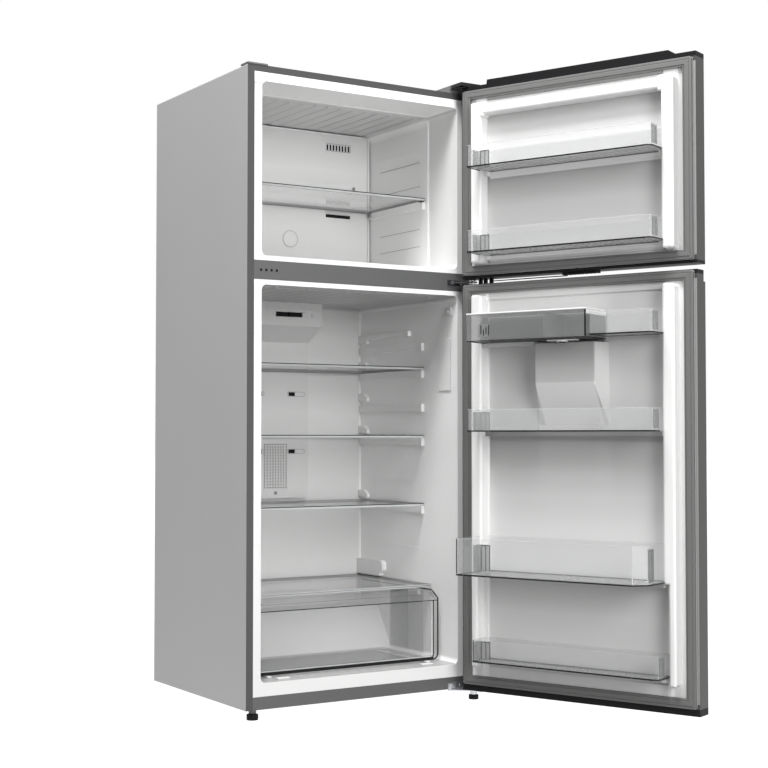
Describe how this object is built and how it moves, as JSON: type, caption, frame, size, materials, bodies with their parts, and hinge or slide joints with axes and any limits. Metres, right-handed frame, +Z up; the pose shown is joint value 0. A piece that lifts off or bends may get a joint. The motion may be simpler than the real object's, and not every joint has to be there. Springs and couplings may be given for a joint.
{
  "type": "top freezer refrigerator",
  "caption": "Upright refrigerator with a freezer above a fridge compartment, hinged doors, glass shelves, crisper drawer, lift-off door bins and a door water dispenser.",
  "frame": {"origin": "on the floor, under the middle of the box round the whole object with both doors open 111.8 degrees", "axes": "+Z up, -Y the front of the case, +X towards the hinge side"},
  "size_m": [0.9592, 1.2591, 1.709],
  "materials": {
    "case_paint": "satin metallic grey paint",
    "rim_paint": "satin grey paint",
    "back_sheet": "plain galvanised sheet",
    "dark_steel": "matt dark grey paint",
    "zinc_steel": "zinc plated",
    "foam": "closed cell foam",
    "liner_white": "soft sheen white plastic",
    "cover_white": "fine matt white plastic",
    "seal_grey": "soft grey seal",
    "black_plastic": "matt black plastic",
    "grey_plastic": "matt grey plastic",
    "clear_bin": "clear plastic",
    "glass": "toughened glass",
    "light_trim": "pale grey plastic",
    "lamp_lens": "frosted lens",
    "fin_aluminium": "bare aluminium",
    "compressor_black": "black enamel"
  },
  "bodies": {
    "cabinet": {"case_shell": "case_paint", "back_panel": "back_sheet", "base_pan": "rim_paint", "foam_insulation": "foam", "freezer_liner": "liner_white", "fridge_liner": "liner_white", "mullion_rail": "rim_paint", "evaporator_cover": "cover_white", "evaporator_coil": "fin_aluminium", "fan_motor": "black_plastic", "air_duct": "cover_white", "lamp_cover": "lamp_lens", "door_switch": "light_trim", "top_hinge": "zinc_steel", "hinge_covers": "black_plastic", "middle_hinge": "zinc_steel", "bottom_hinge": "zinc_steel", "roller_brackets": "zinc_steel", "compressor": "compressor_black", "compressor_mounts": "dark_steel", "drain_tray": "black_plastic", "rear_cover": "dark_steel", "crisper_cover_glass": "glass", "crisper_cover_trim": "light_trim"},
    "fan": {"evaporator_fan": "cover_white"},
    "vent_slider": {"air_slider": "black_plastic"},
    "door_switch_plunger": {"switch_plunger": "cover_white"},
    "left_levelling_foot": {"left_foot": "black_plastic"},
    "right_levelling_foot": {"right_foot": "black_plastic"},
    "roller_left": {"left_roller": "black_plastic"},
    "roller_right": {"right_roller": "black_plastic"},
    "freezer_shelf": {"freezer_shelf_glass": "glass", "freezer_shelf_trim": "light_trim"},
    "lower_shelf": {"lower_shelf_glass": "glass", "lower_shelf_trim": "light_trim"},
    "middle_shelf": {"middle_shelf_glass": "glass", "middle_shelf_trim": "light_trim"},
    "upper_shelf": {"upper_shelf_glass": "glass", "upper_shelf_trim": "light_trim"},
    "drawer": {"crisper_drawer": "clear_bin"},
    "freezer_door": {"freezer_door_skin": "case_paint", "freezer_door_foam": "foam", "freezer_door_liner": "liner_white", "freezer_door_gasket": "seal_grey", "freezer_door_caps": "black_plastic"},
    "fridge_door": {"fridge_door_skin": "case_paint", "fridge_door_foam": "foam", "fridge_door_liner": "liner_white", "fridge_door_gasket": "seal_grey", "fridge_door_caps": "black_plastic", "dispenser_housing": "grey_plastic", "water_tank": "clear_bin"},
    "upper_freezer_bin": {"freezer_bin_upper": "clear_bin"},
    "lower_freezer_bin": {"freezer_bin_lower": "clear_bin"},
    "small_top_bin": {"top_bin": "clear_bin"},
    "cans_bin": {"can_bin": "clear_bin"},
    "bottles_bin": {"bottle_bin": "clear_bin"},
    "jars_bin": {"jar_bin": "clear_bin"},
    "lever": {"dispenser_lever": "black_plastic"},
    "tank_cover": {"tank_lid": "clear_bin"}
  },
  "joints": [
    {"name": "freezer_door_swing", "type": "hinge", "parent": "cabinet", "child": "freezer_door", "pos_m": [0.20199, 0.01427, 1.424], "axis": [0, 0, 1], "range_deg": [-111.8, 18.2]},
    {"name": "fridge_door_swing", "type": "hinge", "parent": "cabinet", "child": "fridge_door", "pos_m": [0.20199, 0.01427, 0.585], "axis": [0, 0, 1], "range_deg": [-111.8, 18.2]},
    {"name": "freezer_shelf_slide", "type": "slide", "parent": "cabinet", "child": "freezer_shelf", "axis": [0, -1, 0], "range_m": [0, 0.15]},
    {"name": "lower_shelf_slide", "type": "slide", "parent": "cabinet", "child": "lower_shelf", "axis": [0, -1, 0], "range_m": [0, 0.17]},
    {"name": "middle_shelf_slide", "type": "slide", "parent": "cabinet", "child": "middle_shelf", "axis": [0, -1, 0], "range_m": [0, 0.17]},
    {"name": "upper_shelf_slide", "type": "slide", "parent": "cabinet", "child": "upper_shelf", "axis": [0, -1, 0], "range_m": [0, 0.17]},
    {"name": "drawer_slide", "type": "slide", "parent": "cabinet", "child": "drawer", "axis": [0, -1, 0], "range_m": [0, 0.13]},
    {"name": "upper_freezer_bin_lift", "type": "slide", "parent": "freezer_door", "child": "upper_freezer_bin", "axis": [0, 0, 1], "range_m": [0, 0.025]},
    {"name": "lower_freezer_bin_lift", "type": "slide", "parent": "freezer_door", "child": "lower_freezer_bin", "axis": [0, 0, 1], "range_m": [0, 0.025]},
    {"name": "small_top_bin_lift", "type": "slide", "parent": "fridge_door", "child": "small_top_bin", "axis": [0, 0, 1], "range_m": [0, 0.025]},
    {"name": "cans_bin_lift", "type": "slide", "parent": "fridge_door", "child": "cans_bin", "axis": [0, 0, 1], "range_m": [0, 0.025]},
    {"name": "bottles_bin_lift", "type": "slide", "parent": "fridge_door", "child": "bottles_bin", "axis": [0, 0, 1], "range_m": [0, 0.025]},
    {"name": "jars_bin_lift", "type": "slide", "parent": "fridge_door", "child": "jars_bin", "axis": [0, 0, 1], "range_m": [0, 0.025]},
    {"name": "lever_press", "type": "hinge", "parent": "fridge_door", "child": "lever", "pos_m": [0.31618, -0.29817, 0.942], "axis": [-0.3714, 0.9285, 0], "range_deg": [0, 12], "stiffness_Nm_per_rad": 0.12},
    {"name": "tank_lid_lift", "type": "hinge", "parent": "fridge_door", "child": "tank_cover", "pos_m": [0.26382, -0.22649, 1.0503], "axis": [-0.3714, 0.9285, 0], "range_deg": [0, 30]},
    {"name": "vent_slide", "type": "slide", "parent": "cabinet", "child": "vent_slider", "axis": [1, 0, 0], "range_m": [-0.03, 0.03]},
    {"name": "switch_press", "type": "slide", "parent": "cabinet", "child": "door_switch_plunger", "axis": [1, 0, 0], "range_m": [0, 0.0025], "stiffness_N_per_m": 150},
    {"name": "fan_spin", "type": "hinge", "parent": "cabinet", "child": "fan", "pos_m": [-0.13051, 0.54097, 1.5088], "axis": [0, 1, 0], "continuous": true},
    {"name": "left_foot_turn", "type": "hinge", "parent": "cabinet", "child": "left_levelling_foot", "pos_m": [-0.45551, 0.06627, 0.01], "axis": [0, 0, 1], "continuous": true},
    {"name": "right_foot_turn", "type": "hinge", "parent": "cabinet", "child": "right_levelling_foot", "pos_m": [0.20199, 0.01427, 0.01], "axis": [0, 0, 1], "continuous": true},
    {"name": "left_roller_spin", "type": "hinge", "parent": "cabinet", "child": "roller_left", "pos_m": [-0.40051, 0.44627, 0.012], "axis": [1, 0, 0], "continuous": true},
    {"name": "right_roller_spin", "type": "hinge", "parent": "cabinet", "child": "roller_right", "pos_m": [0.13949, 0.44627, 0.012], "axis": [1, 0, 0], "continuous": true}
  ]
}
